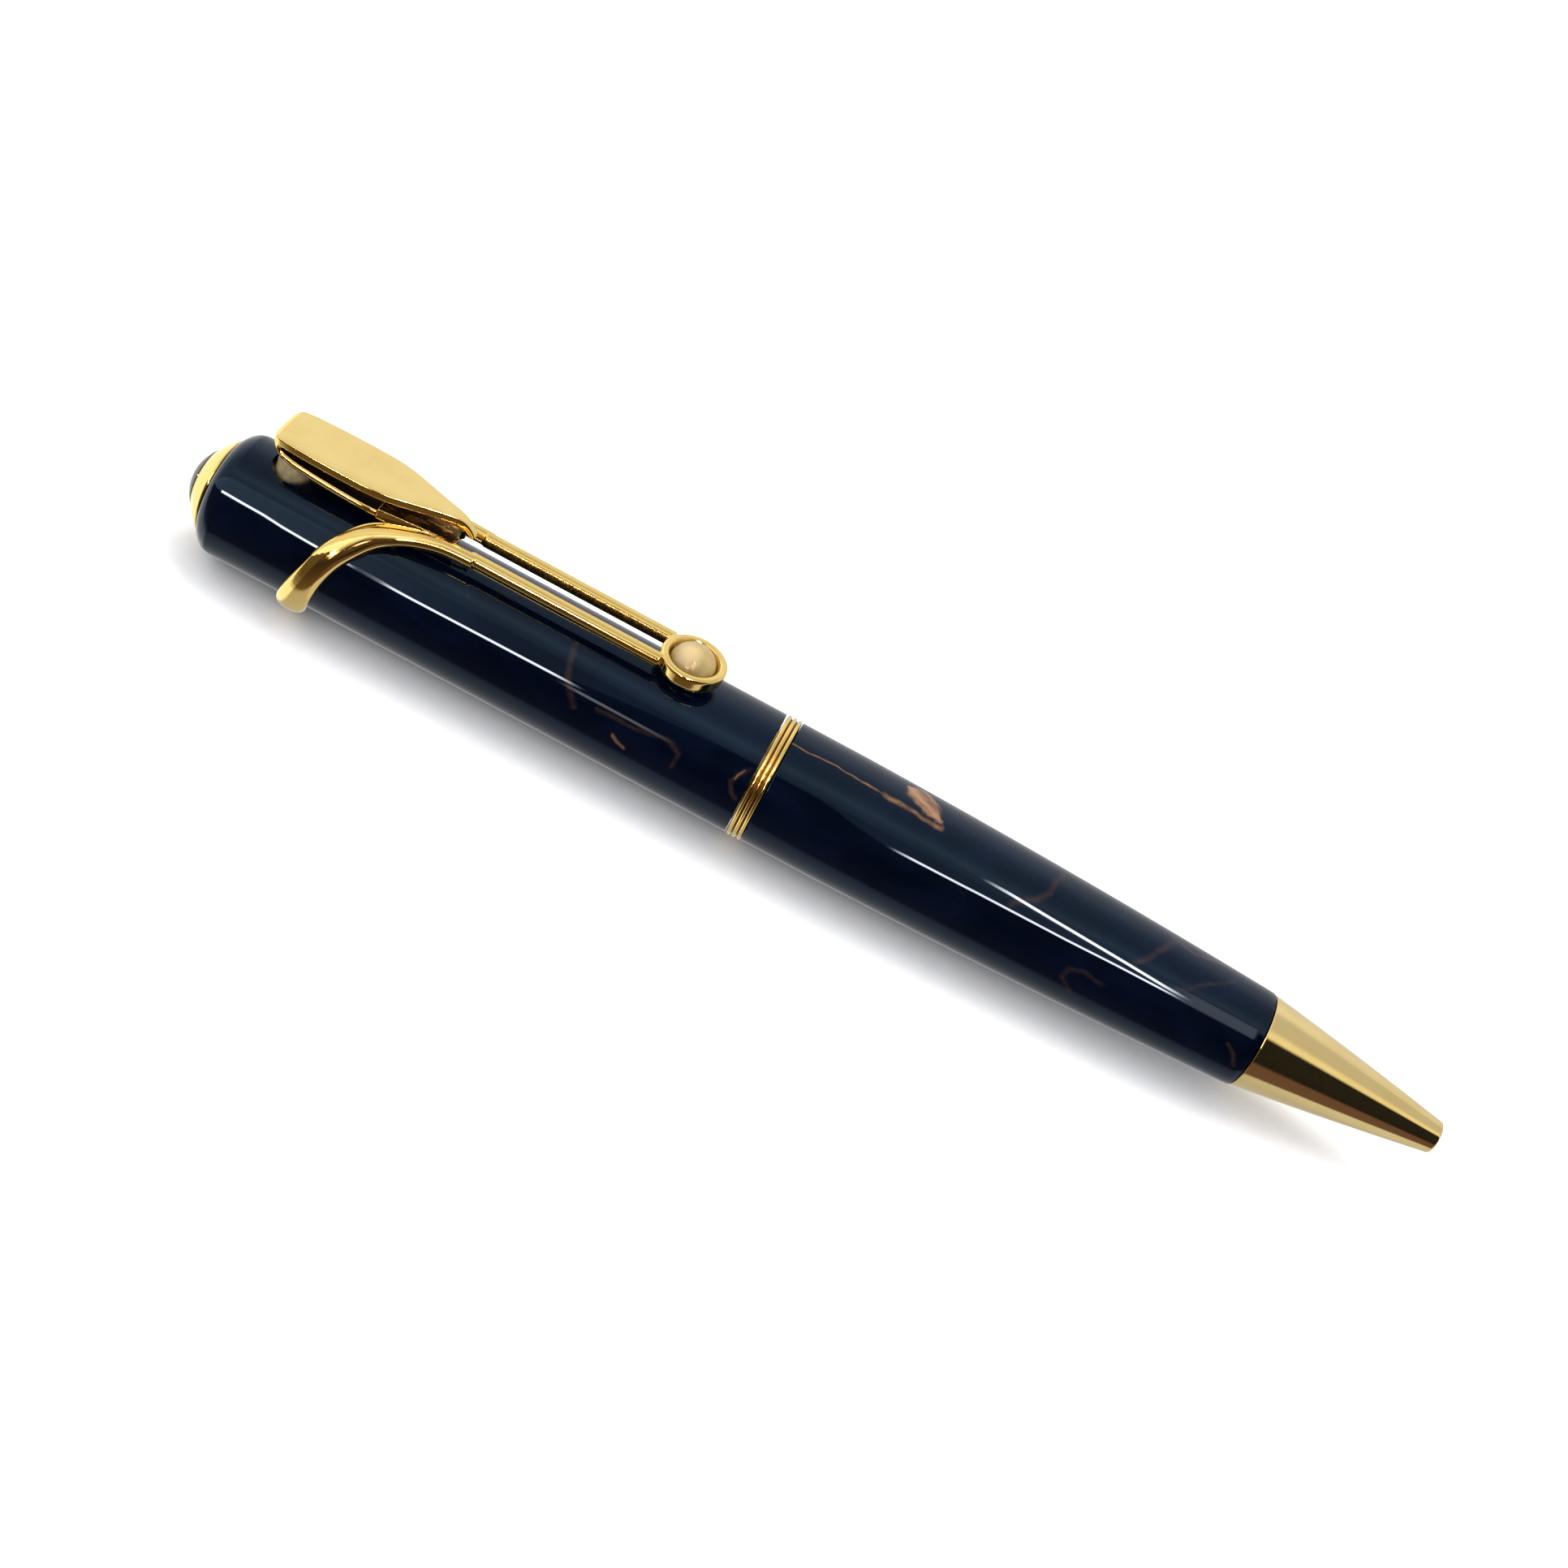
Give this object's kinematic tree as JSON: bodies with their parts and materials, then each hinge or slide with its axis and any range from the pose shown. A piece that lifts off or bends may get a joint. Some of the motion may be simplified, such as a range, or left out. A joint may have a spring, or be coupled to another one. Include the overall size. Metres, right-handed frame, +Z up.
{
  "type": "rollerball pen",
  "caption": "Twist-action rollerball pen in dark resin with gilt nose cone, ribbed centre band, capped crown and a wrap-round clip that ends in a pearl.",
  "frame": {"origin": "middle of the pen's length, on the surface the pen lies on, directly under the pen's axis", "axes": "+X along the pen from the crown to the writing tip, +Z up through the clip, +Y completes the right-handed set"},
  "size_m": [0.1378, 0.0158, 0.0175],
  "materials": {
    "navy_resin": "polished cast resin, near-black navy with faint amber veins",
    "polished_gilt": "gold-plated brass, polished",
    "satin_gilt": "gold-plated brass, fine satin face with polished edges",
    "brass_post": "plain brass, slightly tarnished",
    "raw_brass": "plain turned brass",
    "dark_stone": "polished dark cabochon",
    "pearl": "champagne pearl lustre",
    "white_acetal": "moulded acetal",
    "steel": "hardened steel pin",
    "spring_steel": "drawn spring wire",
    "rubber": "nitrile ring",
    "refill_metal": "drawn tube, satin",
    "black_plastic": "moulded plastic",
    "ink_fibre": "ink-soaked fibre core",
    "tip_steel": "turned stainless steel",
    "ball_carbide": "polished carbide ball"
  },
  "bodies": {
    "barrel": {"barrel_shell": "navy_resin", "barrel_bush": "raw_brass", "centre_band": "polished_gilt", "nose_cone": "polished_gilt", "twist_sleeve": "raw_brass", "friction_ring": "rubber", "refill_spring": "spring_steel"},
    "cap": {"cap_shell": "navy_resin", "cap_liner": "raw_brass", "crown_ring": "polished_gilt", "crown_cabochon": "dark_stone", "crown_screw": "raw_brass", "clip_leaf": "satin_gilt", "clip_frame": "polished_gilt", "clip_post": "brass_post", "clip_nut": "raw_brass", "cam_rotor": "white_acetal"},
    "clip": {"clip_rails": "polished_gilt", "clip_pearl": "pearl"},
    "refill": {"plunger": "white_acetal", "drive_pin": "steel", "refill_tube": "refill_metal", "refill_plug": "black_plastic", "refill_ink": "ink_fibre", "refill_neck": "black_plastic", "refill_tip": "tip_steel"},
    "ball": {"writing_ball": "ball_carbide"}
  },
  "joints": [
    {"name": "twist", "type": "hinge", "parent": "barrel", "child": "cap", "pos_m": [-0.00649, 0, 0.00658], "axis": [1, 0, 0], "range_deg": [0, 180]},
    {"name": "refill_slide", "type": "slide", "parent": "barrel", "child": "refill", "axis": [1, 0, 0], "range_m": [0, 0.005], "deforming": ["refill_spring"]},
    {"name": "clip_flex", "type": "hinge", "parent": "cap", "child": "clip", "pos_m": [-0.0397, 0, 0.01558], "axis": [0, -1, 0], "range_deg": [0, 5], "stiffness_Nm_per_rad": 0.05, "springref_deg": -2.86},
    {"name": "ball_roll", "type": "hinge", "parent": "refill", "child": "ball", "pos_m": [0.06767, 0, 0.00658], "axis": [0, 1, 0], "continuous": true}
  ],
  "couplings": [
    {"joint": "twist", "follows": "refill_slide", "rad_per_m": 628.32}
  ]
}
